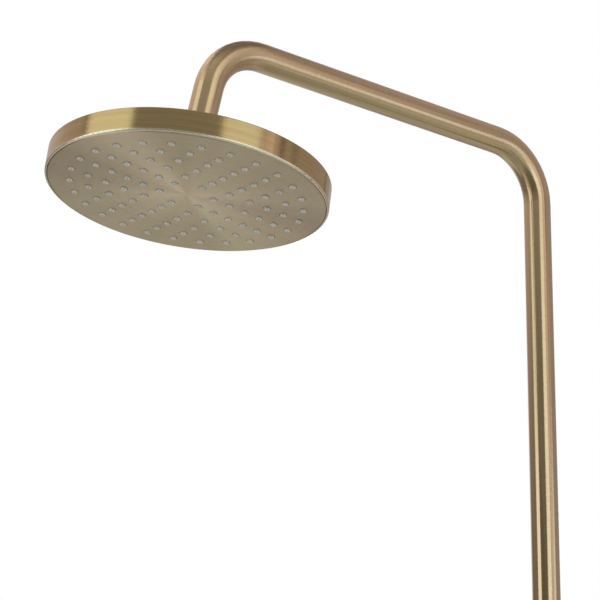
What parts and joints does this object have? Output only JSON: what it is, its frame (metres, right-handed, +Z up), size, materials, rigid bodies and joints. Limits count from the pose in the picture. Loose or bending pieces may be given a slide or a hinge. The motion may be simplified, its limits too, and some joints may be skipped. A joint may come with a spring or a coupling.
{
  "type": "shower column",
  "caption": "Wall-held shower column: a bent riser tube with an overhead arm and a flat round rain head on a ball joint.",
  "frame": {"origin": "on the wall face, at the middle of the wall bracket's fixing plate", "axes": "+Z up along the riser, -Y out from the wall along the arm, +X to the right of someone who faces the wall"},
  "size_m": [0.2, 0.5084, 0.9009],
  "materials": {
    "brushed_brass": "brushed across the tube, satin",
    "rim_brass": "fine brush lines round the rim",
    "face_brass": "circular brushing about the centre",
    "turned_brass": "turned, uncoated",
    "plain_steel": "plain stainless",
    "grey_silicone": "soft translucent silicone",
    "black_rubber": "smooth rubber",
    "white_plastic": "low-friction plastic",
    "grey_plastic": "moulded plastic"
  },
  "bodies": {
    "wall_bracket": {"wall_plate": "plain_steel", "rose_cover": "brushed_brass", "rose_o_ring": "black_rubber", "bracket_standoff": "brushed_brass", "grub_screw": "plain_steel", "riser_bush": "white_plastic"},
    "riser": {"gooseneck_tube": "brushed_brass", "inlet_spigot": "turned_brass", "inlet_o_rings": "black_rubber", "retaining_ring": "white_plastic", "head_nipple": "turned_brass", "flow_regulator": "white_plastic", "filter_washer": "black_rubber", "filter_mesh": "plain_steel", "stem_nut": "brushed_brass"},
    "inlet_nut": {"union_nut": "brushed_brass"},
    "ball": {"ball_stem": "turned_brass"},
    "head": {"head_casing": "rim_brass", "face_plate": "face_brass", "nozzle_mat": "grey_silicone", "water_plate": "grey_plastic", "chamber_seal": "black_rubber", "chamber_cover": "grey_plastic", "plate_screws": "plain_steel", "inlet_seal": "black_rubber", "socket_body": "brushed_brass", "ball_seat": "black_rubber", "friction_ring": "white_plastic", "joint_nut": "brushed_brass"}
  },
  "joints": [
    {"name": "riser_swivel", "type": "hinge", "parent": "wall_bracket", "child": "riser", "pos_m": [0, -0.07, 0], "axis": [0, 0, 1], "range_deg": [-60, 60]},
    {"name": "union_nut_turn", "type": "hinge", "parent": "riser", "child": "inlet_nut", "pos_m": [0, -0.07, -0.45], "axis": [0, 0, 1], "continuous": true},
    {"name": "head_swivel", "type": "hinge", "parent": "riser", "child": "ball", "pos_m": [0, -0.4046, 0.32524], "axis": [0, 0.225, 0.9744], "continuous": true},
    {"name": "head_tilt", "type": "hinge", "parent": "ball", "child": "head", "pos_m": [0, -0.4046, 0.32524], "axis": [1, 0, 0], "range_deg": [-23, 13]}
  ]
}
